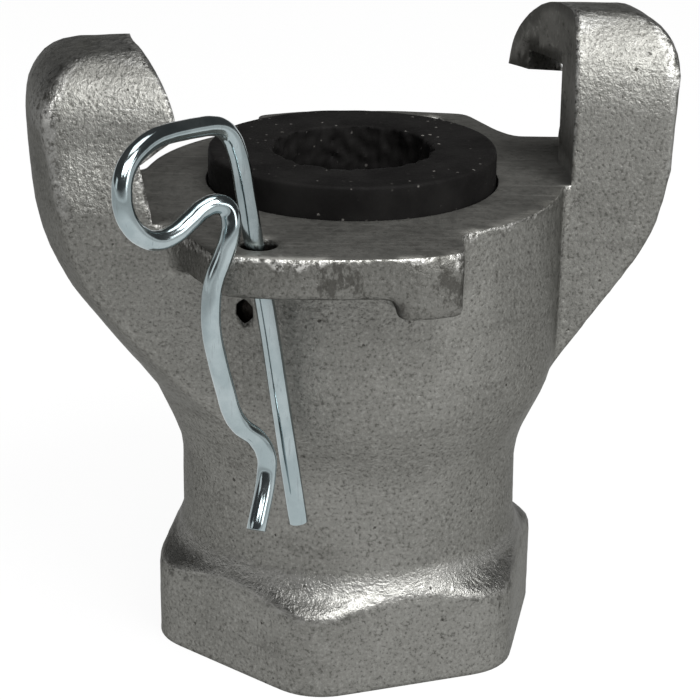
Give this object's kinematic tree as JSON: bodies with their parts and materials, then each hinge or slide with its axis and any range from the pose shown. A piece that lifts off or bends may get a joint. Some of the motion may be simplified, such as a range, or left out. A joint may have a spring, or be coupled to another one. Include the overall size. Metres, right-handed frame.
{
  "type": "claw hose coupling",
  "caption": "Cast claw coupling for air hose with a hexagonal female pipe end, opposed hook claws, clip flanges, rubber face gasket and wire safety clip.",
  "frame": {"origin": "on the plane of the hexagon's end face, under the middle of the whole coupling from side to side and from front to back; the bore axis stands 4.6 mm behind it", "axes": "+Z along the bore towards the gasket, one claw on +X and one on -X, the flange that carries the clip on -Y"},
  "size_m": [0.0745, 0.0708, 0.0743],
  "materials": {
    "cast_body": "sand-cast malleable iron, plated dull grey",
    "rubber": "matt moulded black rubber",
    "wire": "bright zinc-plated spring wire"
  },
  "bodies": {
    "coupling": {"coupling_body": "cast_body", "gasket": "rubber"},
    "clip": {"safety_clip": "wire"}
  },
  "joints": [
    {"name": "clip_swivel", "type": "hinge", "parent": "coupling", "child": "clip", "pos_m": [-0.01041, -0.02108, 0.0552], "axis": [-0.1478, 0.0276, 0.9886], "range_deg": [-55, 60]}
  ]
}
